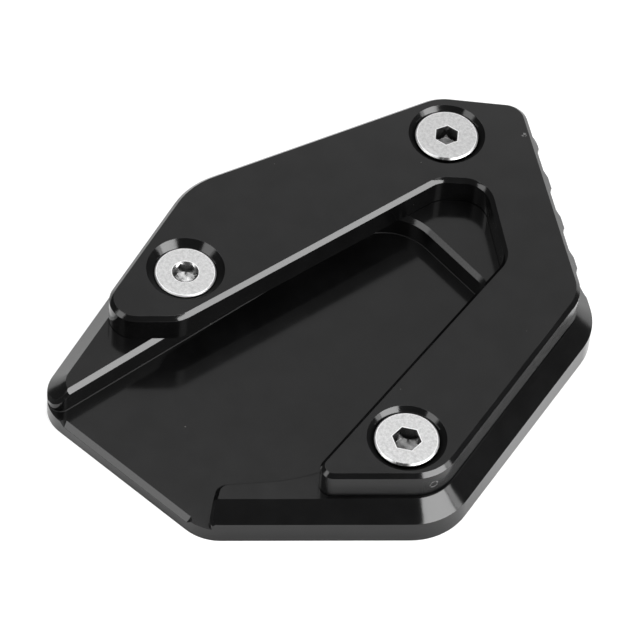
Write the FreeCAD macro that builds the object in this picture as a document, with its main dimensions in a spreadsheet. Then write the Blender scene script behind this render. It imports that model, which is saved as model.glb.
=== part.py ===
import FreeCAD, Part
import math
import os
import types
import Sketcher

# Foot enlarger for a side stand: a pocketed base plate, a V-shaped clamp plate on top of it
# and three countersunk screws. Millimetres. The origin is the middle of the underside,
# X runs along the open mouth of the pocket, Y from the mouth into the pocket, Z up.

SIZES = {
    # Base plate: outline, with its corners as they are before they are rounded
    "outline_width": 86.4,
    "outline_length": 113.0,
    "mouth_inset": 13.0,
    "mouth_width": 41.2,
    "near_side_rise": 31.2,
    "far_side_inset": 9.0,
    "far_side_drop": 30.0,
    "far_corner_inset": 50.5,
    "far_corner_lead": 1.8,
    "far_left_run": 15.9,
    "far_left_drop": 12.0,
    "side_left_rise": 52.0,
    "mouth_left_round": 7.3,
    "mouth_right_round": 9.0,
    "near_right_round": 12.5,
    "far_right_round": 12.5,
    "far_top_round": 7.5,
    "far_left_round": 12.0,
    "side_left_round": 19.0,
    # Base plate: heights and edges
    "base_thickness": 8.4,
    "base_bevel": 3.4,
    "floor_thickness": 3.3,
    "floor_bevel": 0.15,
    "land_edge_break": 0.85,
    "nose_edge_break": 0.55,
    # Base plate: pocket for the stand's foot
    "left_nose_inset": 4.6,
    "left_nose_lead": 0.4,
    "left_nose_rise": 6.6,
    "left_nose_round": 2.2,
    "right_nose_inset": 0.65,
    "right_nose_lead": 1.2,
    "right_nose_rise": 14.0,
    "right_nose_width": 3.45,
    "right_nose_depth": 6.05,
    "right_nose_round": 2.4,
    "right_nose_tip_round": 1.2,
    "flare_wall": 18.8,
    "flare_drop": 5.5,
    "flare_round": 36.0,
    "pocket_right_wall": 23.6,
    "pocket_left_wall": 30.7,
    "pocket_end_wall": 9.6,
    "pocket_end_slant": 4.3,
    "pocket_round": 10.5,
    "cut_margin": 2.8,
    # Base plate: milled lip along the mouth
    "lip_chamfer": 0.95,
    "lip_overlap": 0.05,
    "lip_left_inset": 6.9,
    "lip_right_inset": 3.6,
    # Base plate: grip notches along the far right side
    "notch_radius": 7.0,
    "notch_depth": 1.0,
    "notch_pitch": 10.0,
    "notch_count": 4,
    "notch_first": 11.3,
    # Clamp plate: its outer corners lie inside the base plate's, its inner ones over the pocket
    "clamp_thickness": 6.0,
    "clamp_chamfer": 0.8,
    "clamp_seam_break": 0.2,
    "left_tip_lead": 0.8,
    "left_tip_rise": 14.6,
    "left_tip_width": 12.1,
    "left_tip_slant": 11.9,
    "left_tip_round": 5.05,
    "left_tip_inner_round": 6.5,
    "inner_left_margin": 6.1,
    "inner_left_rise": 5.9,
    "inner_top_run": 6.6,
    "inner_top_rise": 5.7,
    "inner_right_margin": 4.7,
    "inner_right_rise": 4.4,
    "inner_round": 5.2,
    "right_tip_inset": 21.5,
    "right_tip_drop": 15.25,
    "right_tip_round": 2.45,
    "right_tip_margin": 4.0,
    "right_tip_rise": 1.7,
    "right_tip_outer_round": 9.2,
    "clamp_far_right_margin": 3.4,
    "clamp_far_right_drop": 1.3,
    "clamp_far_right_round": 8.5,
    "clamp_far_top_drop": 3.7,
    "clamp_far_top_round": 4.5,
    "clamp_far_left_margin": 2.5,
    "clamp_far_left_drop": 1.8,
    "clamp_far_left_round": 9.0,
    "clamp_side_left_margin": 3.0,
    "clamp_side_left_drop": 0.6,
    "clamp_side_left_round": 16.0,
    # Screws and their holes
    "thread_diameter": 6.0,
    "thread_clearance": 0.1,
    "clearance_hole": 6.6,
    "hole_edge_break": 0.4,
    "sink_diameter": 14.7,
    "tip_recess": 0.8,
    "tip_chamfer": 0.7,
    "head_rim_break": 0.25,
    "socket_cone": 1.0,
}
# Each screw stands at its own distance from a corner of the base plate's outline. Its turn is
# the direction of one corner of its socket, in degrees.
SCREWS = {
    "left": {"corner": "side_left", "dx": 16.8, "dy": -16.2, "head": 11.6, "rim": 0.6,
             "socket": 4.0, "turn": 37.5, "depth": 2.5, "lead": 5.0},
    "top": {"corner": "far_left", "dx": 10.35, "dy": -7.9, "head": 12.1, "rim": 1.0,
            "socket": 4.15, "turn": 7.5, "depth": 3.4},
    "right": {"corner": "near_right", "dx": -14.2, "dy": 3.9, "head": 11.95, "rim": 1.1,
              "socket": 4.75, "turn": 30.0, "depth": 3.3},
}


class Length:
    """A length in millimetres together with the formula that gives it from the sheet."""

    def __init__(self, value, formula):
        self.value = value
        self.formula = formula

    def __add__(self, other):
        return Length(self.value + other.value, "(%s + %s)" % (self.formula, other.formula))

    def __sub__(self, other):
        return Length(self.value - other.value, "(%s - %s)" % (self.formula, other.formula))

    def __neg__(self):
        return Length(-self.value, "(-%s)" % self.formula)

    def __truediv__(self, number):
        return Length(self.value / number, "(%s / %s)" % (self.formula, number))


os.makedirs("parts", exist_ok=True)
doc = FreeCAD.newDocument("foot_enlarger")
sheet = doc.addObject("Spreadsheet::Sheet", "Sizes")
rows = []


def size(name, value):
    """Writes one named size into the sheet and returns it as a length."""
    rows.append(name)
    sheet.set("A%d" % len(rows), name)
    sheet.set("B%d" % len(rows), str(value))
    sheet.setAlias("B%d" % len(rows), name)
    return Length(value, "Sizes." + name)


S = types.SimpleNamespace(**{name: size(name, value) for name, value in SIZES.items()})
SCREW = {
    side: types.SimpleNamespace(corner=values["corner"], **{
        key: size("screw_%s_%s" % (side, key), number)
        for key, number in values.items() if key != "corner"})
    for side, values in SCREWS.items()
}
doc.recompute()

ZERO = Length(0.0, "0 mm")
LEFT, RIGHT = -(S.outline_width / 2), S.outline_width / 2
MOUTH, FAR = -(S.outline_length / 2), S.outline_length / 2 + S.far_corner_lead
CLAMP_TOP = S.base_thickness + S.clamp_thickness
SINK_DEPTH = (S.sink_diameter - S.clearance_hole) / 2

# Corners of the outlines, counter-clockwise: x, y and rounding
BASE = {"mouth_left": (LEFT + S.mouth_inset, MOUTH, S.mouth_left_round)}
BASE["mouth_right"] = (BASE["mouth_left"][0] + S.mouth_width, MOUTH, S.mouth_right_round)
BASE["near_right"] = (RIGHT, MOUTH + S.near_side_rise, S.near_right_round)
BASE["far_right"] = (RIGHT - S.far_side_inset, FAR - S.far_side_drop, S.far_right_round)
BASE["far_top"] = (RIGHT - S.far_corner_inset, FAR, S.far_top_round)
BASE["far_left"] = (BASE["far_top"][0] - S.far_left_run, FAR - S.far_left_drop, S.far_left_round)
BASE["side_left"] = (LEFT, MOUTH + S.side_left_rise, S.side_left_round)

OUT_LEFT, OUT_RIGHT = LEFT - S.cut_margin, RIGHT + S.cut_margin
OUT_LOW = MOUTH - S.cut_margin - S.cut_margin
NOSE_LEFT = (BASE["mouth_left"][0] + S.left_nose_inset, MOUTH + S.left_nose_lead, S.left_nose_round)
NOSE_RIGHT = (BASE["mouth_right"][0] + S.right_nose_inset, MOUTH + S.right_nose_lead,
              S.right_nose_tip_round)
END_RIGHT = (RIGHT - S.pocket_right_wall, BASE["far_right"][1] - S.pocket_end_wall, S.pocket_round)
END_LEFT = (LEFT + S.pocket_left_wall, END_RIGHT[1] + S.pocket_end_slant, S.pocket_round)
POCKET = [
    (OUT_LEFT, NOSE_LEFT[1] + S.left_nose_rise, None),
    (OUT_LEFT, OUT_LOW, None),
    (OUT_RIGHT, OUT_LOW, None),
    (OUT_RIGHT, NOSE_RIGHT[1] + S.right_nose_rise, None),
    NOSE_RIGHT,
    (NOSE_RIGHT[0] - S.right_nose_width, NOSE_RIGHT[1] + S.right_nose_depth, S.right_nose_round),
    (RIGHT - S.flare_wall, BASE["near_right"][1] - S.flare_drop, S.flare_round),
    END_RIGHT,
    END_LEFT,
    NOSE_LEFT,
]

TIP_LEFT = (BASE["mouth_left"][0] - S.left_tip_lead, MOUTH + S.left_tip_rise, S.left_tip_round)
TIP_RIGHT = (RIGHT - S.right_tip_inset, BASE["near_right"][1] - S.right_tip_drop,
             S.right_tip_round)
INNER_LEFT = (END_LEFT[0] + S.inner_left_margin, END_LEFT[1] + S.inner_left_rise, S.inner_round)
CLAMP = [
    TIP_LEFT,
    (TIP_LEFT[0] + S.left_tip_width, TIP_LEFT[1] + S.left_tip_slant, S.left_tip_inner_round),
    INNER_LEFT,
    (INNER_LEFT[0] + S.inner_top_run, INNER_LEFT[1] + S.inner_top_rise, S.inner_round),
    (END_RIGHT[0] - S.inner_right_margin, END_RIGHT[1] + S.inner_right_rise, S.inner_round),
    TIP_RIGHT,
    (RIGHT - S.right_tip_margin, BASE["near_right"][1] + S.right_tip_rise,
     S.right_tip_outer_round),
    (BASE["far_right"][0] - S.clamp_far_right_margin,
     BASE["far_right"][1] - S.clamp_far_right_drop, S.clamp_far_right_round),
    (BASE["far_top"][0], BASE["far_top"][1] - S.clamp_far_top_drop, S.clamp_far_top_round),
    (BASE["far_left"][0] + S.clamp_far_left_margin,
     BASE["far_left"][1] - S.clamp_far_left_drop, S.clamp_far_left_round),
    (BASE["side_left"][0] + S.clamp_side_left_margin,
     BASE["side_left"][1] - S.clamp_side_left_drop, S.clamp_side_left_round),
]
for own in SCREW.values():
    own.x, own.y = BASE[own.corner][0] + own.dx, BASE[own.corner][1] + own.dy


def vector(x, y):
    """The point at two lengths, as numbers."""
    return FreeCAD.Vector(x.value, y.value, 0)


def new_body(name):
    """An empty body with its file name as label."""
    body = doc.addObject("PartDesign::Body", name)
    body.Label = name
    return body


def origin_plane(body, role):
    """One of the body's own planes."""
    return next(f for f in body.Origin.OriginFeatures if f.Role == role)


def flat_sketch(body, name, height=None, role="XY_Plane"):
    """A sketch on one of the body's own planes, lifted to a height."""
    sketch = body.newObject("Sketcher::SketchObject", name)
    sketch.AttachmentSupport = [(origin_plane(body, role), "")]
    sketch.MapMode = "FlatFace"
    if height:
        sketch.setExpression("AttachmentOffset.Base.z", height.formula)
    return sketch


def bind(sketch, kind, *where_and_length):
    """Adds a dimension whose last argument is a length, and ties it to the sheet."""
    *where, length = where_and_length
    index = sketch.addConstraint(Sketcher.Constraint(kind, *where, length.value))
    sketch.setExpression("Constraints[%d]" % index, length.formula)


def place_point(sketch, geo, pos, x, y):
    """Ties one point of the sketch to two lengths from the origin."""
    bind(sketch, "DistanceX", -1, 1, geo, pos, x)
    bind(sketch, "DistanceY", -1, 1, geo, pos, y)


def outline(sketch, corners):
    """A closed outline with straight sides and rounded corners, counter-clockwise."""
    count = len(corners)
    points = [vector(x, y) for x, y, rounding in corners]
    guides = []
    for i in range(count):
        line = Part.LineSegment(points[i], points[(i + 1) % count])
        guides.append(sketch.addGeometry(line, True))
    for i, (x, y, rounding) in enumerate(corners):
        sketch.addConstraint(Sketcher.Constraint("Coincident", guides[i - 1], 2, guides[i], 1))
        place_point(sketch, guides[i], 1, x, y)
    starts, ends, arcs = [], [], []
    for i, (x, y, rounding) in enumerate(corners):
        back = (points[i - 1] - points[i]).normalize()
        ahead = (points[(i + 1) % count] - points[i]).normalize()
        radius = rounding.value if rounding else 0
        half = back.getAngle(ahead) / 2
        reach = radius / math.tan(half)
        ends.append(points[i] + back * reach)
        starts.append(points[i] + ahead * reach)
        if not radius:
            arcs.append(None)
            continue
        middle = points[i] + (back + ahead).normalize() * (radius / math.sin(half))
        left_turn = back.cross(ahead).z < 0
        first, last = (ends[i], starts[i]) if left_turn else (starts[i], ends[i])
        angles = [math.atan2(p.y - middle.y, p.x - middle.x) for p in (first, last)]
        circle = Part.Circle(middle, FreeCAD.Vector(0, 0, 1), radius)
        arcs.append((sketch.addGeometry(Part.ArcOfCircle(circle, *angles), False), left_turn))
    sides = []
    for i in range(count):
        line = Part.LineSegment(starts[i], ends[(i + 1) % count])
        sides.append(sketch.addGeometry(line, False))
    for i, (x, y, rounding) in enumerate(corners):
        if arcs[i] is None:
            sketch.addConstraint(Sketcher.Constraint("Coincident", sides[i - 1], 2, guides[i], 1))
            sketch.addConstraint(Sketcher.Constraint("Coincident", sides[i], 1, guides[i], 1))
            continue
        arc, left_turn = arcs[i]
        first, last = (1, 2) if left_turn else (2, 1)
        sketch.addConstraint(Sketcher.Constraint("PointOnObject", sides[i - 1], 2, guides[i - 1]))
        sketch.addConstraint(Sketcher.Constraint("PointOnObject", sides[i], 1, guides[i]))
        sketch.addConstraint(Sketcher.Constraint("Tangent", sides[i - 1], 2, arc, first))
        sketch.addConstraint(Sketcher.Constraint("Tangent", sides[i], 1, arc, last))
        bind(sketch, "Radius", arc, rounding)


def circle_at(sketch, x, y, diameter):
    """One circle at two lengths from the origin."""
    circle = Part.Circle(vector(x, y), FreeCAD.Vector(0, 0, 1), diameter.value / 2)
    geo = sketch.addGeometry(circle, False)
    place_point(sketch, geo, 3, x, y)
    bind(sketch, "Diameter", geo, diameter)
    return geo


def pad(body, sketch, name, length):
    """Grows a sketch upwards."""
    feature = body.newObject("PartDesign::Pad", name)
    feature.Profile = sketch
    feature.setExpression("Length", length.formula)
    doc.recompute()
    return feature


def cut(body, sketch, name, length=None, upwards=False, slope=None):
    """Cuts a sketch down to a depth, or through everything; it must take something away."""
    before = body.Tip.Shape.Volume
    feature = body.newObject("PartDesign::Pocket", name)
    feature.Profile = sketch
    feature.Reversed = upwards
    if slope:
        feature.TaperAngle = slope
    if length:
        feature.setExpression("Length", length.formula)
    else:
        feature.Type = "ThroughAll"
    doc.recompute()
    if not feature.Shape.Volume < before:
        raise RuntimeError(name + " takes nothing away")
    return feature


def cut_cone(body, name, x, y, bottom, lower_radius, upper_radius, height):
    """Cuts an upright cone that widens upwards."""
    feature = body.newObject("PartDesign::SubtractiveCone", name)
    feature.AttachmentSupport = [(origin_plane(body, "XY_Plane"), "")]
    feature.MapMode = "FlatFace"
    feature.setExpression("AttachmentOffset.Base.x", x.formula)
    feature.setExpression("AttachmentOffset.Base.y", y.formula)
    feature.setExpression("AttachmentOffset.Base.z", bottom.formula)
    feature.setExpression("Radius1", lower_radius.formula)
    feature.setExpression("Radius2", upper_radius.formula)
    feature.setExpression("Height", height.formula)
    doc.recompute()


def chamfer(body, name, edges, width):
    """Chamfers the given edges of the body's last feature."""
    feature = body.newObject("PartDesign::Chamfer", name)
    feature.Base = (body.Group[-2], edges)
    feature.setExpression("Size", width.formula)
    doc.recompute()


def edges_where(shape, test):
    """Names of the edges of a shape for which the test holds."""
    return ["Edge%d" % (i + 1) for i, edge in enumerate(shape.Edges) if test(edge)]


def level(edge, height):
    """Whether an edge lies flat at a height."""
    box = edge.BoundBox
    return abs(box.ZMin - height.value) < 1e-4 and abs(box.ZMax - height.value) < 1e-4


# Base plate: the bevelled block
base = new_body("base_plate")
block_sketch = flat_sketch(base, "base_outline")
outline(block_sketch, list(BASE.values()))
block = pad(base, block_sketch, "base_block", S.base_thickness)
chamfer(base, "base_bevelled", edges_where(block.Shape, lambda e: level(e, S.base_thickness)),
        S.base_bevel)

# Base plate: grip notches, cut upright through the bevel
notch_sketch = flat_sketch(base, "notch_outline")
start, finish = vector(*BASE["far_right"][:2]), vector(*BASE["far_top"][:2])
along = (finish - start).normalize()
outward = FreeCAD.Vector(along.y, -along.x, 0)
notch_offset = S.notch_radius - S.notch_depth
edge_line = notch_sketch.addGeometry(Part.LineSegment(start, finish), True)
place_point(notch_sketch, edge_line, 1, *BASE["far_right"][:2])
place_point(notch_sketch, edge_line, 2, *BASE["far_top"][:2])
foot = start + along * S.notch_first.value
centre = foot + outward * notch_offset.value
first_line = notch_sketch.addGeometry(Part.LineSegment(foot, centre), True)
notch_sketch.addConstraint(Sketcher.Constraint("PointOnObject", first_line, 1, edge_line))
notch_sketch.addConstraint(Sketcher.Constraint("Perpendicular", first_line, edge_line))
bind(notch_sketch, "Distance", edge_line, 1, first_line, 1, S.notch_first)
bind(notch_sketch, "Distance", first_line, notch_offset)
notch_circle = notch_sketch.addGeometry(
    Part.Circle(centre, FreeCAD.Vector(0, 0, 1), S.notch_radius.value), False)
notch_sketch.addConstraint(Sketcher.Constraint("Coincident", notch_circle, 3, first_line, 2))
bind(notch_sketch, "Radius", notch_circle, S.notch_radius)
first_notch = cut(base, notch_sketch, "first_notch", upwards=True)
notches = base.newObject("PartDesign::LinearPattern", "grip_notches")
notches.Originals = [first_notch]
notches.Direction = (notch_sketch, ["Axis0"])
notches.Mode = "Spacing"
notches.setExpression("Offset", S.notch_pitch.formula)
notches.setExpression("Occurrences", S.notch_count.formula)
base.Tip = notches
doc.recompute()

# Base plate: the pocket, open at the mouth, with rounded land ends
floor_top = S.floor_thickness + S.floor_bevel
pocket_sketch = flat_sketch(base, "pocket_outline", S.base_thickness)
outline(pocket_sketch, POCKET)
cut(base, pocket_sketch, "foot_pocket", S.base_thickness - floor_top)
# its floor, with a narrow bevel at the foot of the wall
floor_sketch = flat_sketch(base, "pocket_floor_outline", floor_top)
outline(floor_sketch, POCKET)
cut(base, floor_sketch, "pocket_floor", S.floor_bevel, slope="-45 deg")
# the broken edge of the lands round it
break_foot = S.base_thickness - S.land_edge_break
break_sketch = flat_sketch(base, "land_edge_outline", break_foot)
outline(break_sketch, POCKET)
cut(base, break_sketch, "land_edge", S.land_edge_break, upwards=True, slope="45 deg")
# the same where the wall runs out through the bevel at both land ends
bevel_foot = S.base_thickness - S.base_bevel
slanting = edges_where(base.Tip.Shape, lambda e: abs(e.BoundBox.ZMax - break_foot.value) < 0.02
                       and bevel_foot.value < e.BoundBox.ZMin < (bevel_foot + break_foot).value / 2)
chamfer(base, "nose_edges", slanting, S.nose_edge_break)

# Base plate: the milled lip along the mouth, a slot with sloping sides
lip_sketch = flat_sketch(base, "lip_outline", S.floor_thickness)
lip_left = BASE["mouth_left"][0] + S.lip_left_inset
lip_right = BASE["mouth_right"][0] - S.lip_right_inset
lip_reach = S.lip_chamfer + S.lip_overlap
ends = [vector(lip_left, MOUTH), vector(lip_right, MOUTH)]
up, rise = FreeCAD.Vector(0, 0, 1), FreeCAD.Vector(0, lip_reach.value, 0)
left_end = lip_sketch.addGeometry(
    Part.ArcOfCircle(Part.Circle(ends[0], up, rise.y), math.pi / 2, math.pi * 3 / 2), False)
right_end = lip_sketch.addGeometry(
    Part.ArcOfCircle(Part.Circle(ends[1], up, rise.y), -math.pi / 2, math.pi / 2), False)
near_side = lip_sketch.addGeometry(Part.LineSegment(ends[0] - rise, ends[1] - rise), False)
far_side = lip_sketch.addGeometry(Part.LineSegment(ends[1] + rise, ends[0] + rise), False)
lip_sketch.addConstraint(Sketcher.Constraint("Tangent", left_end, 2, near_side, 1))
lip_sketch.addConstraint(Sketcher.Constraint("Tangent", near_side, 2, right_end, 1))
lip_sketch.addConstraint(Sketcher.Constraint("Tangent", right_end, 2, far_side, 1))
lip_sketch.addConstraint(Sketcher.Constraint("Tangent", far_side, 2, left_end, 1))
lip_sketch.addConstraint(Sketcher.Constraint("Horizontal", near_side))
place_point(lip_sketch, left_end, 3, lip_left, MOUTH)
bind(lip_sketch, "DistanceX", -1, 1, right_end, 3, lip_right)
bind(lip_sketch, "Radius", right_end, lip_reach)
cut(base, lip_sketch, "mouth_lip", S.lip_chamfer, slope="-45 deg")

# Base plate: the three threaded holes, with their lower edges broken
thread_hole = S.thread_diameter + S.thread_clearance
thread_sketch = flat_sketch(base, "thread_holes_outline")
for own in SCREW.values():
    circle_at(thread_sketch, own.x, own.y, thread_hole)
cut(base, thread_sketch, "thread_holes", upwards=True)
lower_rims = edges_where(base.Tip.Shape, lambda e: level(e, ZERO) and e.isClosed()
                         and abs(e.Length - math.pi * thread_hole.value) < 1e-3)
chamfer(base, "thread_holes_broken", lower_rims, S.hole_edge_break)

# Clamp plate: the V-shaped plate with broken edges
clamp = new_body("clamp_plate")
clamp_sketch = flat_sketch(clamp, "clamp_outline", S.base_thickness)
outline(clamp_sketch, CLAMP)
plate = pad(clamp, clamp_sketch, "clamp_block", S.clamp_thickness)
chamfer(clamp, "clamp_upper_edge", edges_where(plate.Shape, lambda e: level(e, CLAMP_TOP)),
        S.clamp_chamfer)
chamfer(clamp, "clamp_seam_edge",
        edges_where(clamp.Tip.Shape, lambda e: level(e, S.base_thickness)), S.clamp_seam_break)

# Clamp plate: clearance holes and the deep countersinks over them
clearance_sketch = flat_sketch(clamp, "clearance_holes_outline", S.base_thickness)
for own in SCREW.values():
    circle_at(clearance_sketch, own.x, own.y, S.clearance_hole)
cut(clamp, clearance_sketch, "clearance_holes", upwards=True)
for side, own in SCREW.items():
    cut_cone(clamp, "sink_" + side, own.x, own.y, CLAMP_TOP - SINK_DEPTH,
             S.clearance_hole / 2, S.sink_diameter / 2, SINK_DEPTH)


def turned_profile(sketch, points):
    """A closed profile through the given points, whose first and last ones lie on the axis."""
    count = len(points)
    lines = []
    for i in range(count):
        line = Part.LineSegment(vector(*points[i]), vector(*points[(i + 1) % count]))
        lines.append(sketch.addGeometry(line, False))
    for i, (x, y) in enumerate(points):
        sketch.addConstraint(Sketcher.Constraint("Coincident", lines[i - 1], 2, lines[i], 1))
        if x is ZERO:
            sketch.addConstraint(Sketcher.Constraint("PointOnObject", lines[i], 1, -2))
        else:
            bind(sketch, "DistanceX", -1, 1, lines[i], 1, x)
        bind(sketch, "DistanceY", -1, 1, lines[i], 1, y)


def hexagon(sketch, width, turn):
    """A hexagon round the origin: its width across flats and the direction of a corner."""
    radius = Length(width.value / math.sqrt(3), width.formula + " / sqrt(3)")
    start = Length(math.radians(turn.value), turn.formula + " * 1 deg")
    points = [FreeCAD.Vector(radius.value * math.cos(start.value + i * math.pi / 3),
                             radius.value * math.sin(start.value + i * math.pi / 3), 0)
              for i in range(6)]
    edges = [sketch.addGeometry(Part.LineSegment(points[i], points[(i + 1) % 6]), False)
             for i in range(6)]
    middle = FreeCAD.Vector(0, 0, 0)
    ring = sketch.addGeometry(Part.Circle(middle, FreeCAD.Vector(0, 0, 1), radius.value), True)
    sketch.addConstraint(Sketcher.Constraint("Coincident", ring, 3, -1, 1))
    bind(sketch, "Radius", ring, radius)
    for i in range(6):
        sketch.addConstraint(Sketcher.Constraint("Coincident", edges[i - 1], 2, edges[i], 1))
        sketch.addConstraint(Sketcher.Constraint("PointOnObject", edges[i], 1, ring))
        if i:
            sketch.addConstraint(Sketcher.Constraint("Equal", edges[0], edges[i]))
    spoke = sketch.addGeometry(Part.LineSegment(middle, points[0]), True)
    sketch.addConstraint(Sketcher.Constraint("Coincident", spoke, 1, -1, 1))
    sketch.addConstraint(Sketcher.Constraint("Coincident", spoke, 2, edges[0], 1))
    bind(sketch, "Angle", -1, 1, spoke, 1, start)


def screw(side, own):
    """A countersunk screw standing upright in its hole, its head on the sink's slope."""
    body = new_body("screw_" + side)
    body.setExpression("Placement.Base.x", own.x.formula)
    body.setExpression("Placement.Base.y", own.y.formula)
    shank, head = S.thread_diameter / 2, own.head / 2
    seat = CLAMP_TOP - S.sink_diameter / 2
    face = seat + head + own.rim
    profile = flat_sketch(body, "screw_%s_profile" % side, role="XZ_Plane")
    turned_profile(profile, [
        (ZERO, S.tip_recess),
        (shank - S.tip_chamfer, S.tip_recess),
        (shank, S.tip_recess + S.tip_chamfer),
        (shank, seat + shank),
        (head, seat + head),
        (head, face - S.head_rim_break),
        (head - S.head_rim_break, face),
        (ZERO, face),
    ])
    turned = body.newObject("PartDesign::Revolution", "screw_%s_turned" % side)
    turned.Profile = profile
    turned.ReferenceAxis = (profile, ["V_Axis"])
    turned.Angle = 360
    doc.recompute()
    socket_sketch = flat_sketch(body, "screw_%s_socket_outline" % side, face)
    hexagon(socket_sketch, own.socket, own.turn)
    cut(body, socket_sketch, "screw_%s_socket" % side, own.depth)
    cut_cone(body, "screw_%s_socket_point" % side, ZERO, ZERO, face - own.depth - S.socket_cone,
             ZERO, own.socket / 2, S.socket_cone)
    if hasattr(own, "lead"):
        lead_depth = (own.lead - own.socket) / 2
        cut_cone(body, "screw_%s_socket_lead" % side, ZERO, ZERO, face - lead_depth,
                 own.socket / 2, own.lead / 2, lead_depth)
    return body


bodies = [base, clamp] + [screw(side, own) for side, own in SCREW.items()]
doc.recompute()
for item in doc.Objects:
    if "Invalid" in item.State or "Error" in item.State:
        raise RuntimeError("%s did not build: %s" % (item.Name, item.State))
for body in bodies:
    if body.Shape.isNull() or not body.Shape.isValid() or len(body.Shape.Solids) != 1:
        raise RuntimeError(body.Label + " is not one sound solid")
for body in bodies:
    body.Shape.exportStep("parts/%s.step" % body.Label)
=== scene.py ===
import math

import bmesh
import bpy
from mathutils import Matrix, Vector


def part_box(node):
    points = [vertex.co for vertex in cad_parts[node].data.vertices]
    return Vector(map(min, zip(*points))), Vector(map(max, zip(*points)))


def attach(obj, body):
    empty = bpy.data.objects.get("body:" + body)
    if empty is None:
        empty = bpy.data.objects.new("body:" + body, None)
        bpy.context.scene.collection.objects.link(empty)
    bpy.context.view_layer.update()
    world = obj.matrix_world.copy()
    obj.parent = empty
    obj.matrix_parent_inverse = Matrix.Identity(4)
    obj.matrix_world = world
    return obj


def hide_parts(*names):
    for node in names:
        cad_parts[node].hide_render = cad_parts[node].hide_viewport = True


bl_info = {
    "name": "Side Stand Foot Enlarger",
    "version": (1, 0, 0),
    "blender": (4, 5, 0),
    "location": "View3D > Sidebar > Enlarger",
    "description": "Dresses the foot enlarger's plates and screws and sets up its studio",
    "category": "Object",
}

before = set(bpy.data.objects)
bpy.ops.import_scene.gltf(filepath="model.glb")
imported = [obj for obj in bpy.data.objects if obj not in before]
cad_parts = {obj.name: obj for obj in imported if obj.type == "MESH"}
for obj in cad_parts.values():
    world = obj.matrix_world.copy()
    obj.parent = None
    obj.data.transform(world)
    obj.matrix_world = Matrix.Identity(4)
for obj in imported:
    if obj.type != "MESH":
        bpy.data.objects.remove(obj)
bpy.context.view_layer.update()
CLAMP_BOTTOM, CLAMP_TOP = (corner.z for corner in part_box("clamp_plate"))
SCREWS = ("screw_left", "screw_top", "screw_right")
# The turn from -Y to the front of the studio, and the level direction from the part to it
FRONT_TURN = math.radians(37.5)
FRONT = Vector((math.sin(FRONT_TURN), -math.cos(FRONT_TURN), 0))

# Distances in metres: points closer than the first are one, and levels may be off by the second
MERGE_REACH = 1e-6
LEVEL_SLACK = 1e-5
# Degrees up to which loose triangles are one flat face, and above which an edge is sharp
FLAT_ANGLE = 0.2
SHARP_ANGLE = 22
# How much a face's normal points up, from 0 on an upright face to 1 on a level one
UPRIGHT = 0.2
STEEP = 0.3
LEVEL = 0.98
# The line at the foot of the pocket's wall: slopes up to a height above the pocket's floor
# that point up less than the third value
POCKET_FLOOR = 0.0033
FOOT_HEIGHT = 0.0002
FOOT_LEVEL = 0.97
# The ends of the pocket's mouth: higher slopes that point up less than the second value and
# towards the mouth more than the third
MOUTH_HEIGHT = 0.001
MOUTH_END_STEEP = 0.65
MOUTH_END_FACING = 0.7
# Reach of a sink and of a socket from the screw's axis, and depth of a head below its top
SINK_REACH = 0.008
SOCKET_REACH = 0.0036
HEAD_DEPTH = 0.0048

# The plates' finishes with the strength of their sheen, and the places of the duller two; the matt
# one also stands for painted shade on the sides of the clamp plate's sinks
ANODISED = (
    ("Black anodised aluminium", 0.5),
    ("Dull anodised aluminium", 0.29),
    ("Matt anodised aluminium", 0.08),
)
DULL = 1
MATT = 2
# A sink is matt but for the side that faces the front by more than this cosine; that matt side's
# low sheen is painted shade
SINK_SATIN_FROM = 0.45
# The clamp plate's right walls grow duller as they turn to the front, from this cosine on
WALL_DULL_FROM = 0.6
WALL_DULLNESS = 0.9
# How much painted shade a screw's faces get: 1 gives the socket shade colour and 2 the deeper
# painted shade colour
SOCKET_WALL = 1.0
SOCKET_FLOORS = {"screw_left": 0.8, "screw_top": 2.0, "screw_right": 1.8}
UNDER_HEAD = 2.0

# Small marks of handling: their places, and the colours of marks and wear
LOOP_SCRATCH = (0.0379, -0.0238, 0.0110)
EDGE_NICK = (-0.0021, 0.0487, 0.0144)
TOP_RIM_RUB = (-0.00947, 0.03376, 0.0140)
RIGHT_RIM_RUB = (0.03183, -0.02599, 0.0140)
SCRATCH_COLOUR = (0.16, 0.16, 0.16, 1)
DUST_COLOUR = (0.12, 0.12, 0.11, 1)
RUB_COLOUR = (0.12, 0.12, 0.12, 1)
RING_COLOUR = (0.45, 0.45, 0.45, 1)
RIM_COLOUR = (0.96, 0.96, 0.96, 1)

# Distances in front of the part's middle between which the mirrored floor dims
DIM_FROM = 0.024
DIM_TO = 0.046
# The floor's white to the eye and to the light that it returns to the part
SEEN_WHITE = 0.5
LIT_WHITE = 0.8
# Strength of the dim room's light, and the height that the lamps aim at
ROOM_LIGHT = 0.1
LAMP_AIM_HEIGHT = 0.01
# Power in watts of an area lamp of one square metre that shows a radiance of 1
LAMP_POWER = 4
# Softboxes: the window of directions that each fills as seen from the part, in degrees from +X
# and in degrees above the floor, and its radiance
SOFTBOXES = (
    ("Right softbox", -22.5, 23.5, 20, 40, 7.0),
    ("Right softbox edge", 23.5, 33.5, 8, 30, 3.2),
    ("Left softbox", -125.5, -98.5, 14, 42, 2.5),
    ("Left softbox edge", -130.5, -125.5, 14, 42, 1.2),
    ("Back softbox, low", 97.5, 157.5, 30, 48, 0.68),
    ("Back softbox, middle", 97.5, 157.5, 48, 60, 0.42),
    ("Back softbox, high", 97.5, 157.5, 60, 74, 1.85),
    ("Left fill", 177.5, 267.5, 52, 74, 0.95),
    ("Right fill", -12.5, 77.5, 52, 74, 0.95),
    ("Top softbox", 37.5, 217.5, 80, 100, 1.5),
)


# Settings

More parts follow.
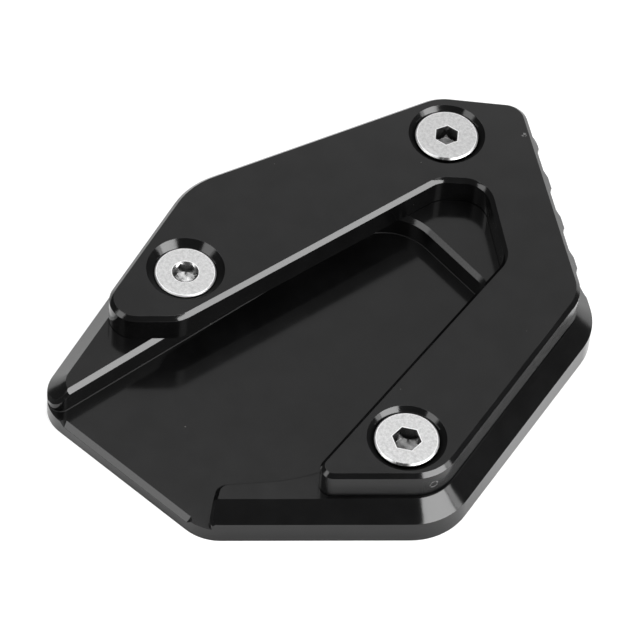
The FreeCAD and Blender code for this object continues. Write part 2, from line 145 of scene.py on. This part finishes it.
class PlateSettings(bpy.types.PropertyGroup):
    """Edges and black anodised finish of both plates."""

    edge_rounding: bpy.props.FloatProperty(
        name="Edge rounding", description="Width of the rounding along every sharp edge",
        default=0.00009, min=0.00002, max=0.0004, precision=5, subtype="DISTANCE", unit="LENGTH")
    foot_chamfer: bpy.props.FloatProperty(
        name="Foot chamfer", description="Width of the chamfer round the clamp plate's foot",
        default=0.00045, min=0.00005, max=0.001, precision=5, subtype="DISTANCE", unit="LENGTH")
    colour: bpy.props.FloatVectorProperty(
        name="Anodised colour", description="Colour under the gloss of the anodised surface",
        default=(0.004, 0.004, 0.0041), size=3, min=0, max=1, subtype="COLOR")
    worn_colour: bpy.props.FloatVectorProperty(
        name="Worn colour", description="Colour where the dye is thin, along the edges",
        default=(0.035, 0.035, 0.036), size=3, min=0, max=1, subtype="COLOR")
    roughness: bpy.props.FloatProperty(
        name="Roughness", description="Roughness of the anodised surface",
        default=0.13, min=0, max=1, subtype="FACTOR")
    dust: bpy.props.FloatProperty(
        name="Dust", description="How strongly the dust specks show",
        default=0.5, min=0, max=1, subtype="FACTOR")


class ScrewSettings(bpy.types.PropertyGroup):
    """Edges, stainless finish and painted shade of the screws."""

    edge_rounding: bpy.props.FloatProperty(
        name="Edge rounding", description="Width of the rounding along every sharp edge",
        default=0.00007, min=0.00002, max=0.0002, precision=5, subtype="DISTANCE", unit="LENGTH")
    colour: bpy.props.FloatVectorProperty(
        name="Steel colour", description="Colour of the stainless steel",
        default=(0.70, 0.70, 0.70), size=3, min=0, max=1, subtype="COLOR")
    # Painted shade: this colour is put on the socket walls in place of the shade inside the sockets
    socket_shade_colour: bpy.props.FloatVectorProperty(
        name="Socket shade colour", description="Colour of the darkened walls of the sockets",
        default=(0.34, 0.34, 0.34), size=3, min=0, max=1, subtype="COLOR")
    # Painted shade: this colour is put on the sockets' bottoms and under the heads' rims, where
    # shade falls
    painted_shade_colour: bpy.props.FloatVectorProperty(
        name="Painted shade colour", description="Colour in the sockets' bottoms and under the heads' rims",
        default=(0.09, 0.09, 0.09), size=3, min=0, max=1, subtype="COLOR")
    rim_width: bpy.props.FloatProperty(
        name="Rim width", description="Width of the burnished band along a head's edges",
        default=0.00014, min=0.00002, max=0.0005, precision=5, subtype="DISTANCE", unit="LENGTH")
    roughness: bpy.props.FloatProperty(
        name="Roughness", description="Roughness of the tumbled steel",
        default=0.42, min=0, max=1, subtype="FACTOR")


class StudioSettings(bpy.types.PropertyGroup):
    """Floor, lamps and camera."""

    distance: bpy.props.FloatProperty(
        name="Camera distance", description="From the camera to the point that it looks at",
        default=0.8507, min=0.2, max=5, subtype="DISTANCE", unit="LENGTH")
    azimuth: bpy.props.FloatProperty(
        name="Camera azimuth", description="Direction of the camera round the part, from -Y",
        default=FRONT_TURN, subtype="ANGLE", unit="ROTATION")
    elevation: bpy.props.FloatProperty(
        name="Camera elevation", description="Height of the camera above the floor",
        default=math.radians(52.1), subtype="ANGLE", unit="ROTATION")
    roll: bpy.props.FloatProperty(
        name="Camera roll", description="Turn of the camera about its line of sight",
        default=math.radians(5.3), subtype="ANGLE", unit="ROTATION")
    aim: bpy.props.FloatVectorProperty(
        name="Aim", description="Point on the floor that the camera looks at",
        default=(-0.007184, -0.003335, 0), size=3, subtype="XYZ", unit="LENGTH")
    lens: bpy.props.FloatProperty(
        name="Focal length", description="Focal length in millimetres",
        default=253.125, min=20, max=400)
    floor_size: bpy.props.FloatProperty(
        name="Floor size", description="Side of the square floor",
        default=8, min=1, max=20, subtype="DISTANCE", unit="LENGTH")
    floor_glow: bpy.props.FloatProperty(
        name="Floor glow", description="White that the floor shows to the eye without lamps",
        default=0.72, min=0, max=1, subtype="FACTOR")
    mirrored_glow: bpy.props.FloatProperty(
        name="Mirrored glow", description="The same glow as the part's gloss mirrors it",
        default=0.5, min=0, max=1, subtype="FACTOR")
    front_glow: bpy.props.FloatProperty(
        name="Mirrored glow in front", description="The mirrored glow in front of the part",
        default=0.03, min=0, max=1, subtype="FACTOR")


# Meshes

def joined_copy(cad_node):
    """A copy of a CAD node's mesh with its loose triangles joined into flat faces."""
    bm = bmesh.new()
    bm.from_mesh(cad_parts[cad_node].data)
    bmesh.ops.remove_doubles(bm, verts=bm.verts[:], dist=MERGE_REACH)
    bmesh.ops.dissolve_limit(
        bm, angle_limit=math.radians(FLAT_ANGLE), verts=bm.verts[:], edges=bm.edges[:])
    return bm


def sharp_edges(bm):
    """The edges along which faces meet at a sharp angle."""
    limit = math.radians(SHARP_ANGLE)
    return [e for e in bm.edges if e.is_manifold and e.calc_face_angle() > limit]


def bevel(bm, edges, width, segments):
    """Bevels edges and returns the new faces."""
    return bmesh.ops.bevel(
        bm, geom=edges, offset=width, offset_type="WIDTH", affect="EDGES", segments=segments,
        profile=0.5, material=-1, clamp_overlap=True, loop_slide=True)["faces"]


def juts_out(face):
    """Whether a face stands out from its neighbours, as on an outward edge."""
    middle = face.calc_center_median()
    return sum((other.calc_center_median() - middle).dot(face.normal)
               for edge in face.edges for other in edge.link_faces if other is not face) < 0


def near_screw(place, axes):
    """Whether a place is within a sink's reach of one of the screws' axes."""
    return min((place - axis).xy.length for axis in axes) < SINK_REACH


def in_sink(edge, axes):
    """Whether an edge lies below the rim of one of the sinks."""
    middle = (edge.verts[0].co + edge.verts[1].co) / 2
    return near_screw(middle, axes) and middle.z < CLAMP_TOP - LEVEL_SLACK


def round_edges(bm, edges, width):
    """Rounds edges, marks the new outward faces as worn and returns the layer that holds dullness
    on the plates and painted shade on the screws.
    """
    worn = bm.faces.layers.float.new("worn")
    dullness_and_painted_shade = bm.faces.layers.float.new("dullness_and_painted_shade")
    for face in bevel(bm, edges, width, segments=2):
        if juts_out(face):
            face[worn] = 1.0
    for face in bm.faces:
        face.smooth = True
    return dullness_and_painted_shade


def finished(bm, name, cad_node, materials):
    """Makes the finished piece that stands for a CAD node, with its materials by name."""
    mesh = bpy.data.meshes.new(name)
    bm.to_mesh(mesh)
    bm.free()
    custom = mesh.attributes.get("custom_normal")
    if custom:
        mesh.attributes.remove(custom)
    for material in materials:
        mesh.materials.append(bpy.data.materials[material])
    piece = bpy.data.objects.new(name, mesh)
    bpy.context.scene.collection.objects.link(piece)
    weighted = piece.modifiers.new("Flat faces first", "WEIGHTED_NORMAL")
    weighted.weight = 80
    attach(piece, "root")
    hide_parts(cad_node)


# Node helpers

def node(tree, kind, inputs=None, **options):
    """Adds a node with its options and inputs; an input is a value or another node's output."""
    made = tree.nodes.new(kind)
    for name, value in options.items():
        setattr(made, name, value)
    for name, value in (inputs or {}).items():
        if isinstance(value, bpy.types.NodeSocket):
            tree.links.new(value, made.inputs[name])
        else:
            made.inputs[name].default_value = value
    return made


def maths(tree, operation, first, second=0.0, third=0.0):
    """One math node's result."""
    values = {0: first, 1: second}
    if operation == "MULTIPLY_ADD":
        values[2] = third
    return node(tree, "ShaderNodeMath", values, operation=operation).outputs[0]


def mapped(tree, value, low, high, to_low=0.0, to_high=1.0, smooth=True):
    """A value moved from one range to another and held inside it."""
    return node(tree, "ShaderNodeMapRange",
                {"Value": value, "From Min": low, "From Max": high,
                 "To Min": to_low, "To Max": to_high},
                interpolation_type="SMOOTHSTEP" if smooth else "LINEAR").outputs[0]


def blended(tree, share, first, second):
    """Two colours mixed by a share; each is a colour or another node's output."""
    return node(tree, "ShaderNodeMix", {"Factor": share, 6: first, 7: second},
                data_type="RGBA").outputs[2]


def shade(colour, share=1.0):
    """A colour from the settings, darker or lighter by a share."""
    return tuple(part * share for part in colour) + (1,)


def new_group(name, inputs, outputs):
    """An empty effect group with its sockets: (name, default) and (name, socket type)."""
    group = bpy.data.node_groups.new(name, "ShaderNodeTree")
    for label, default in inputs:
        kind = "NodeSocketFloat" if isinstance(default, (int, float)) else "NodeSocketVector"
        socket = group.interface.new_socket(label, in_out="INPUT", socket_type=kind)
        socket.default_value = default
    for label, kind in outputs:
        group.interface.new_socket(label, in_out="OUTPUT", socket_type=kind)
    return group, group.nodes.new("NodeGroupInput"), group.nodes.new("NodeGroupOutput")


def use_group(tree, name, **values):
    """Places an effect group in a material with its own values."""
    placed = tree.nodes.new("ShaderNodeGroup")
    placed.node_tree = bpy.data.node_groups[name]
    for label, value in values.items():
        label = label.replace("_", " ")
        if isinstance(value, bpy.types.NodeSocket):
            tree.links.new(value, placed.inputs[label])
        else:
            placed.inputs[label].default_value = value
    return placed


# Effects

def grain_effect():
    """Fine etched grain with a broader mottle."""
    group, inside, outside = new_group(
        "Etched grain", [("Vector", (0, 0, 0)), ("Grain size", 0.0003), ("Mottle size", 0.006)],
        [("Height", "NodeSocketFloat"), ("Mottle", "NodeSocketFloat")])
    fine = node(group, "ShaderNodeTexNoise", {
        "Vector": inside.outputs["Vector"],
        "Scale": maths(group, "DIVIDE", 1.0, inside.outputs["Grain size"]),
        "Detail": 2.0, "Roughness": 0.6})
    broad = node(group, "ShaderNodeTexNoise", {
        "Vector": inside.outputs["Vector"],
        "Scale": maths(group, "DIVIDE", 1.0, inside.outputs["Mottle size"]),
        "Detail": 4.0, "Roughness": 0.55})
    group.links.new(fine.outputs["Fac"], outside.inputs["Height"])
    group.links.new(broad.outputs["Fac"], outside.inputs["Mottle"])


def cutter_effect():
    """Faint level lines that a cutter leaves on upright and sloping faces."""
    group, inside, outside = new_group(
        "Cutter lines", [("Vector", (0, 0, 0)), ("Spacing", 0.00025)],
        [("Height", "NodeSocketFloat")])
    stretched = node(group, "ShaderNodeVectorMath",
                     {0: inside.outputs["Vector"], 1: (0.02, 0.02, 1.0)}, operation="MULTIPLY")
    lines = node(group, "ShaderNodeTexNoise", {
        "Vector": stretched.outputs[0],
        "Scale": maths(group, "DIVIDE", 1.0, inside.outputs["Spacing"]),
        "Detail": 2.0, "Roughness": 0.7})
    normal = node(group, "ShaderNodeNewGeometry").outputs["True Normal"]
    lean = node(group, "ShaderNodeSeparateXYZ", {0: normal}).outputs["Z"]
    upright = mapped(group, maths(group, "ABSOLUTE", lean), 0.98, 0.85)
    group.links.new(maths(group, "MULTIPLY", lines.outputs["Fac"], upright),
                    outside.inputs["Height"])


def dust_effect():
    """Sparse small specks."""
    group, inside, outside = new_group(
        "Dust specks", [("Vector", (0, 0, 0)), ("Cell", 0.004), ("Speck", 0.03), ("Share", 0.3)],
        [("Mask", "NodeSocketFloat")])
    cells = node(group, "ShaderNodeTexVoronoi", {
        "Vector": inside.outputs["Vector"],
        "Scale": maths(group, "DIVIDE", 1.0, inside.outputs["Cell"])})
    chance = node(group, "ShaderNodeSeparateColor", {0: cells.outputs["Color"]})
    chosen = maths(group, "LESS_THAN", chance.outputs[0], inside.outputs["Share"])
    size = maths(group, "MULTIPLY", inside.outputs["Speck"],
                 mapped(group, chance.outputs[1], 0.0, 1.0, 0.4, 1.6, smooth=False))
    near = maths(group, "LESS_THAN", cells.outputs["Distance"], size)
    group.links.new(maths(group, "MULTIPLY", near, chosen), outside.inputs["Mask"])


def blemish_effect():
    """A broken ring round a point, or a spot on it where the radius is nought."""
    group, inside, outside = new_group(
        "Blemish", [("Vector", (0, 0, 0)), ("Centre", (0, 0, 0)), ("Radius", 0.0),
                    ("Width", 0.0002), ("Break size", 0.0004), ("Break from", 0.35),
                    ("Break to", 0.55)],
        [("Mask", "NodeSocketFloat")])
    far = node(group, "ShaderNodeVectorMath",
               {0: inside.outputs["Vector"], 1: inside.outputs["Centre"]}, operation="DISTANCE")
    off = maths(group, "ABSOLUTE", maths(group, "SUBTRACT", far.outputs["Value"],
                                         inside.outputs["Radius"]))
    near = mapped(group, maths(group, "DIVIDE", off, inside.outputs["Width"]), 1.0, 0.4)
    noise = node(group, "ShaderNodeTexNoise", {
        "Vector": inside.outputs["Vector"],
        "Scale": maths(group, "DIVIDE", 1.0, inside.outputs["Break size"]), "Detail": 3.0})
    broken = mapped(group, noise.outputs["Fac"], inside.outputs["Break from"],
                    inside.outputs["Break to"])
    group.links.new(maths(group, "MULTIPLY", near, broken), outside.inputs["Mask"])


def turning_effect():
    """Fine rings round the middle of a head, with a tumbled mottle over them."""
    group, inside, outside = new_group(
        "Turned rings", [("UV", (0, 0, 0)), ("Rings", 68.0)],
        [("Height", "NodeSocketFloat"), ("Mottle", "NodeSocketFloat")])
    centred = node(group, "ShaderNodeVectorMath",
                   {0: inside.outputs["UV"], 1: (0.5, 0.5, 0.0)}, operation="SUBTRACT")
    radius = node(group, "ShaderNodeVectorMath", {0: centred.outputs[0]}, operation="LENGTH")
    rings = node(group, "ShaderNodeTexNoise", {
        "W": maths(group, "MULTIPLY", radius.outputs["Value"], inside.outputs["Rings"]),
        "Scale": 1.0, "Detail": 2.0}, noise_dimensions="1D")
    mottle = node(group, "ShaderNodeTexNoise", {
        "Vector": inside.outputs["UV"], "Scale": 19.0, "Detail": 6.0, "Roughness": 0.8})
    group.links.new(rings.outputs["Fac"], outside.inputs["Height"])
    group.links.new(mottle.outputs["Fac"], outside.inputs["Mottle"])


# Materials

def new_material(name):
    """Makes a node material and returns its tree and its Principled shader."""
    material = bpy.data.materials.new(name)
    material.use_nodes = True
    return material.node_tree, material.node_tree.nodes["Principled BSDF"]


def anodised_material(settings, name, sheen):
    """Black anodised aluminium: satin, faintly grained, with thin dye along the edges."""
    tree, surface = new_material(name)
    place = node(tree, "ShaderNodeTexCoord").outputs["Object"]
    grain = use_group(tree, "Etched grain", Vector=place, Grain_size=0.00022)
    lines = use_group(tree, "Cutter lines", Vector=place)
    dust = use_group(tree, "Dust specks", Vector=place).outputs["Mask"]
    loop = use_group(tree, "Blemish", Vector=place, Centre=LOOP_SCRATCH, Radius=0.00075,
                     Width=0.0002, Break_from=0.44, Break_to=0.54).outputs["Mask"]
    nick = use_group(tree, "Blemish", Vector=place, Centre=EDGE_NICK, Width=0.0007,
                     Break_from=0.45, Break_to=0.55).outputs["Mask"]
    worn = node(tree, "ShaderNodeAttribute", attribute_name="worn").outputs["Fac"]
    dullness_and_painted_shade = node(tree, "ShaderNodeAttribute", attribute_name="dullness_and_painted_shade").outputs["Fac"]
    mottle = grain.outputs["Mottle"]
    dye = blended(tree, mapped(tree, mottle, 0.3, 0.7),
                  shade(settings.colour, 0.8), shade(settings.colour, 1.25))
    thin = maths(tree, "MULTIPLY", worn, mapped(tree, mottle, 0.4, 0.62))
    edged = blended(tree, thin, dye, shade(settings.worn_colour))
    marked = blended(tree, maths(tree, "MAXIMUM", loop, nick), edged, SCRATCH_COLOUR)
    dusted = blended(tree, maths(tree, "MULTIPLY", dust, settings.dust), marked, DUST_COLOUR)
    tree.links.new(dusted, surface.inputs["Base Color"])
    rough = mapped(tree, mottle, 0.3, 0.7, settings.roughness - 0.008, settings.roughness + 0.008)
    rough = maths(tree, "MULTIPLY_ADD", dust, 0.3, rough)
    rough = maths(tree, "MULTIPLY_ADD", dullness_and_painted_shade, 0.45, rough)
    rough = maths(tree, "MULTIPLY_ADD", loop, 0.2, rough)
    tree.links.new(rough, surface.inputs["Roughness"])
    surface.inputs["Specular IOR Level"].default_value = sheen
    height = maths(tree, "MULTIPLY_ADD", lines.outputs["Height"], 1.2, grain.outputs["Height"])
    bump = node(tree, "ShaderNodeBump",
                {"Height": height, "Strength": 1.0, "Distance": 0.0000018})
    tree.links.new(bump.outputs["Normal"], surface.inputs["Normal"])


def stainless_material(settings):
    """Stainless steel with a tumbled, almost white satin, and painted shade in the sockets and
    under the heads' rims.
    """
    tree, surface = new_material("Stainless steel")
    uv = node(tree, "ShaderNodeUVMap", uv_map="Head").outputs["UV"]
    place = node(tree, "ShaderNodeTexCoord").outputs["Object"]
    rings = use_group(tree, "Turned rings", UV=uv)
    grain = use_group(tree, "Etched grain", Vector=place, Grain_size=0.00025)
    top_rub = use_group(tree, "Blemish", Vector=place, Centre=TOP_RIM_RUB, Width=0.0016,
                        Break_from=0.2, Break_to=0.45).outputs["Mask"]
    right_rub = use_group(tree, "Blemish", Vector=place, Centre=RIGHT_RIM_RUB, Width=0.0021,
                          Break_from=0.2, Break_to=0.45).outputs["Mask"]
    worn = node(tree, "ShaderNodeAttribute", attribute_name="worn").outputs["Fac"]
    painted_shade_level = node(tree, "ShaderNodeAttribute", attribute_name="dullness_and_painted_shade").outputs["Fac"]
    surface.inputs["Metallic"].default_value = 1.0
    mottle = rings.outputs["Mottle"]
    patchy = blended(tree, mapped(tree, mottle, 0.36, 0.62, smooth=False),
                     shade(settings.colour, 0.74), shade(settings.colour, 1.08))
    ringed = blended(tree, mapped(tree, rings.outputs["Height"], 0.35, 0.65, 0.0, 0.12), patchy,
                     RING_COLOUR)
    rubbed = maths(tree, "MULTIPLY", worn, maths(tree, "MAXIMUM", top_rub, right_rub))
    bright = blended(tree, worn, ringed, RIM_COLOUR)
    scuffed = blended(tree, rubbed, bright, RUB_COLOUR)
    # Painted shade: faces marked up to 1 blend to the socket shade colour
    shaded = blended(tree, painted_shade_level, scuffed, shade(settings.socket_shade_colour))
    # Painted shade: faces marked above 1 blend to the deeper painted shade colour
    deeply_shaded = blended(tree, maths(tree, "SUBTRACT", painted_shade_level, 1.0), shaded,
                    shade(settings.painted_shade_colour))
    tree.links.new(deeply_shaded, surface.inputs["Base Color"])
    rough = mapped(tree, mottle, 0.3, 0.7, settings.roughness + 0.06, settings.roughness - 0.04)
    rough = maths(tree, "MULTIPLY_ADD", worn, 0.06, rough)
    shiny = maths(tree, "MINIMUM", painted_shade_level, 1.0)
    tree.links.new(maths(tree, "MULTIPLY_ADD", shiny, -0.2, rough), surface.inputs["Roughness"])
    height = maths(tree, "MULTIPLY_ADD", rings.outputs["Height"], 0.5, grain.outputs["Height"])
    bump = node(tree, "ShaderNodeBump",
                {"Height": height, "Strength": 1.0, "Distance": 0.000004})
    tree.links.new(bump.outputs["Normal"], surface.inputs["Normal"])


def floor_material(settings):
    """White floor with a soft shadow, whose image in the part's gloss dims to the front."""
    tree, surface = new_material("White floor")
    tree.nodes.remove(surface)
    path = node(tree, "ShaderNodeLightPath").outputs
    seen = path["Is Camera Ray"]
    mirrored = maths(tree, "MAXIMUM", path["Is Glossy Ray"], path["Is Transmission Ray"])
    place = node(tree, "ShaderNodeTexCoord").outputs["Object"]
    ahead = node(tree, "ShaderNodeVectorMath", {0: place, 1: FRONT},
                 operation="DOT_PRODUCT").outputs["Value"]
    glow = mapped(tree, ahead, DIM_FROM, DIM_TO, settings.mirrored_glow, settings.front_glow)
    strength = maths(tree, "MULTIPLY_ADD", seen, settings.floor_glow,
                     maths(tree, "MULTIPLY", mirrored, glow))
    lit = node(tree, "ShaderNodeBsdfDiffuse",
               {"Color": mapped(tree, seen, 0, 1, LIT_WHITE, SEEN_WHITE, smooth=False)})
    shine = node(tree, "ShaderNodeEmission", {"Strength": strength})
    white = node(tree, "ShaderNodeAddShader", {0: lit.outputs[0], 1: shine.outputs[0]})
    tree.links.new(white.outputs[0], tree.nodes["Material Output"].inputs["Surface"])


# Operators

class ENLARGER_OT_base_plate(bpy.types.Operator):
    """Dresses the base plate with its pocket, lip and grip notches"""

    bl_idname = "enlarger.base_plate"
    bl_label = "Base Plate"

    def execute(self, context):
        settings = context.scene.enlarger_plates
        bm = joined_copy("base_plate")
        dullness_and_painted_shade = round_edges(bm, sharp_edges(bm), settings.edge_rounding)
        for face in bm.faces:
            height = face.calc_center_median().z - POCKET_FLOOR
            across, along, up = face.normal
            wall_foot = UPRIGHT < up < FOOT_LEVEL and 0 < height < FOOT_HEIGHT
            lip_end = UPRIGHT < up < FOOT_LEVEL and height < 0 and abs(across) > STEEP
            mouth_end = (STEEP < up < MOUTH_END_STEEP and height > MOUTH_HEIGHT
                         and -along > MOUTH_END_FACING)
            if wall_foot or lip_end or mouth_end:
                face[dullness_and_painted_shade] = 1.0
                face.material_index = MATT if mouth_end else DULL
        finished(bm, "base_plate_dressed", "base_plate",
                 [name for name, sheen in ANODISED])
        return {"FINISHED"}


class ENLARGER_OT_clamp_plate(bpy.types.Operator):
    """Dresses the V-shaped clamp plate"""

    bl_idname = "enlarger.clamp_plate"
    bl_label = "Clamp Plate"

    def execute(self, context):
        settings = context.scene.enlarger_plates
        bm = joined_copy("clamp_plate")
        axes = [sum(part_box(name), Vector()) / 2 for name in SCREWS]
        foot = [e for e in sharp_edges(bm) if not in_sink(e, axes)
                and all(vert.co.z < CLAMP_BOTTOM + LEVEL_SLACK for vert in e.verts)]
        bevel(bm, foot, settings.foot_chamfer, segments=1)
        outer = [e for e in sharp_edges(bm) if not in_sink(e, axes)]
        dullness_and_painted_shade = round_edges(bm, outer, settings.edge_rounding)
        for face in bm.faces:
            middle = face.calc_center_median()
            forward = face.normal.dot(FRONT)
            matt_side = forward < SINK_SATIN_FROM * face.normal.xy.length
            # Painted shade: these sink faces get the matt finish, whose low sheen stands in for the
            # shade in the sink
            if near_screw(middle, axes) and STEEP < face.normal.z < LEVEL and matt_side:
                face[dullness_and_painted_shade] = 1.0
                face.material_index = MATT
            elif abs(face.normal.z) < UPRIGHT and middle.x > 0:
                face[dullness_and_painted_shade] = max(0, forward - WALL_DULL_FROM) * WALL_DULLNESS
        finished(bm, "clamp_plate_dressed", "clamp_plate",
                 [name for name, sheen in ANODISED])
        return {"FINISHED"}


class ENLARGER_OT_screws(bpy.types.Operator):
    """Dresses the three countersunk screws"""

    bl_idname = "enlarger.screws"
    bl_label = "Screws"

    def execute(self, context):
        settings = context.scene.enlarger_screws
        for name in SCREWS:
            bm = joined_copy(name)
            uv = bm.loops.layers.uv.new("Head")
            painted_shade_level = round_edges(bm, sharp_edges(bm), settings.edge_rounding)
            worn = bm.faces.layers.float["worn"]
            low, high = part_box(name)
            middle = (low + high) / 2
            flat = [f for f in bm.faces if f.normal.z > LEVEL
                    and f.calc_center_median().z > high.z - LEVEL_SLACK]
            for face in bmesh.ops.inset_region(
                    bm, faces=flat, thickness=settings.rim_width, use_boundary=True,
                    use_even_offset=True)["faces"]:
                face[worn] = 1.0
            for face in bm.faces:
                face.smooth = True
                for loop in face.loops:
                    offset = (loop.vert.co - middle).xy / (high - low).x
                    loop[uv].uv = (offset.x + 0.5, offset.y + 0.5)
                place = face.calc_center_median()
                inward = (middle - place).xy
                if inward.length > SOCKET_REACH and UPRIGHT < face.normal.z < LEVEL:
                    face[worn] = 1.0
                elif face[worn] or face.normal.z > LEVEL or place.z < high.z - HEAD_DEPTH:
                    continue
                # Painted shade: faces under the head's rim and in the socket get shade painted into
                # their colour
                elif face.normal.xy.dot(inward) < 0:
                    face[painted_shade_level] = UNDER_HEAD
                else:
                    face[painted_shade_level] = SOCKET_WALL if face.normal.z < STEEP else SOCKET_FLOORS[name]
            finished(bm, name + "_dressed", name, ["Stainless steel"])
        return {"FINISHED"}


def softbox(name, left, right, low, high, radiance):
    """A softbox one metre away that fills a window of directions and faces the part."""
    turn = math.radians((left + right) / 2)
    lift = math.radians((low + high) / 2)
    away = Vector((math.cos(lift) * math.cos(turn), math.cos(lift) * math.sin(turn),
                   math.sin(lift)))
    lamp = bpy.data.lights.new(name, "AREA")
    lamp.shape = "RECTANGLE"
    lamp.size = 2 * math.tan(math.radians(right - left) / 2) * math.cos(lift)
    lamp.size_y = 2 * math.tan(math.radians(high - low) / 2)
    lamp.energy = LAMP_POWER * radiance * lamp.size * lamp.size_y
    stand = bpy.data.objects.new(name, lamp)
    bpy.context.scene.collection.objects.link(stand)
    stand.location = away + Vector((0, 0, LAMP_AIM_HEIGHT))
    stand.rotation_euler = away.to_track_quat("Z", "Y").to_euler()


class ENLARGER_OT_studio(bpy.types.Operator):
    """Sets up the floor, the softboxes, the world and the camera"""

    bl_idname = "enlarger.studio"
    bl_label = "Studio"

    def execute(self, context):
        settings = context.scene.enlarger_studio
        bm = bmesh.new()
        bmesh.ops.create_grid(bm, x_segments=1, y_segments=1, size=settings.floor_size / 2)
        mesh = bpy.data.meshes.new("floor")
        bm.to_mesh(mesh)
        bm.free()
        floor_material(settings)
        mesh.materials.append(bpy.data.materials["White floor"])
        floor = bpy.data.objects.new("floor", mesh)
        context.scene.collection.objects.link(floor)
        for name, left, right, low, high, radiance in SOFTBOXES:
            softbox(name, left, right, low, high, radiance)
        self.fill_world(context.scene)
        self.place_camera(context.scene, settings)
        return {"FINISHED"}

    def fill_world(self, scene):
        """White to the camera, a dim room to everything else."""
        world = bpy.data.worlds.new("Studio")
        scene.world = world
        world.use_nodes = True
        tree = world.node_tree
        tree.nodes.remove(tree.nodes["Background"])
        seen = node(tree, "ShaderNodeLightPath").outputs["Is Camera Ray"]
        room = node(tree, "ShaderNodeBackground", {"Color": (1, 1, 1, 1), "Strength": ROOM_LIGHT})
        white = node(tree, "ShaderNodeBackground", {"Color": (1, 1, 1, 1), "Strength": 1.0})
        mixed = node(tree, "ShaderNodeMixShader",
                     {"Fac": seen, 1: room.outputs[0], 2: white.outputs[0]})
        tree.links.new(mixed.outputs[0], tree.nodes["World Output"].inputs["Surface"])

    def place_camera(self, scene, settings):
        """The camera at the picture's angle."""
        turn, lift = settings.azimuth, settings.elevation
        away = Vector((math.cos(lift) * math.sin(turn), -math.cos(lift) * math.cos(turn),
                       math.sin(lift)))
        lens = bpy.data.cameras.new("Camera")
        lens.lens = settings.lens
        lens.sensor_width = 36
        lens.clip_start, lens.clip_end = 0.05, 50
        camera = bpy.data.objects.new("Camera", lens)
        scene.collection.objects.link(camera)
        facing = away.to_track_quat("Z", "Y").to_matrix().to_4x4()
        camera.matrix_world = (
            Matrix.Translation(Vector(settings.aim) + away * settings.distance)
            @ facing @ Matrix.Rotation(settings.roll, 4, "Z"))
        scene.camera = camera


class ENLARGER_PT_panel(bpy.types.Panel):
    """Lists the pieces and their settings"""

    bl_idname = "ENLARGER_PT_panel"
    bl_label = "Foot Enlarger"
    bl_space_type = "VIEW_3D"
    bl_region_type = "UI"
    bl_category = "Enlarger"

    def draw(self, context):
        for group in (context.scene.enlarger_plates, context.scene.enlarger_screws,
                      context.scene.enlarger_studio):
            box = self.layout.box()
            for name in group.bl_rna.properties.keys():
                if name not in ("rna_type", "name"):
                    box.prop(group, name)
        for operator in OPERATORS:
            self.layout.operator(operator.bl_idname)


OPERATORS = (ENLARGER_OT_base_plate, ENLARGER_OT_clamp_plate, ENLARGER_OT_screws,
             ENLARGER_OT_studio)
CLASSES = (PlateSettings, ScrewSettings, StudioSettings) + OPERATORS + (ENLARGER_PT_panel,)


def register():
    """Registers the classes and hangs the settings on the scene."""
    for item in CLASSES:
        bpy.utils.register_class(item)
    bpy.types.Scene.enlarger_plates = bpy.props.PointerProperty(type=PlateSettings)
    bpy.types.Scene.enlarger_screws = bpy.props.PointerProperty(type=ScrewSettings)
    bpy.types.Scene.enlarger_studio = bpy.props.PointerProperty(type=StudioSettings)


def unregister():
    """Takes the settings and the classes away again."""
    for name in ("enlarger_plates", "enlarger_screws", "enlarger_studio"):
        delattr(bpy.types.Scene, name)
    for item in reversed(CLASSES):
        bpy.utils.unregister_class(item)


def main():
    """Builds every piece and the studio."""
    register()
    scene = bpy.context.scene
    scene.view_settings.view_transform = "Standard"
    for make in (grain_effect, cutter_effect, dust_effect, blemish_effect, turning_effect):
        make()
    for name, sheen in ANODISED:
        anodised_material(scene.enlarger_plates, name, sheen)
    stainless_material(scene.enlarger_screws)
    bpy.ops.enlarger.base_plate()
    bpy.ops.enlarger.clamp_plate()
    bpy.ops.enlarger.screws()
    bpy.ops.enlarger.studio()


if __name__ == "__main__":
    main()
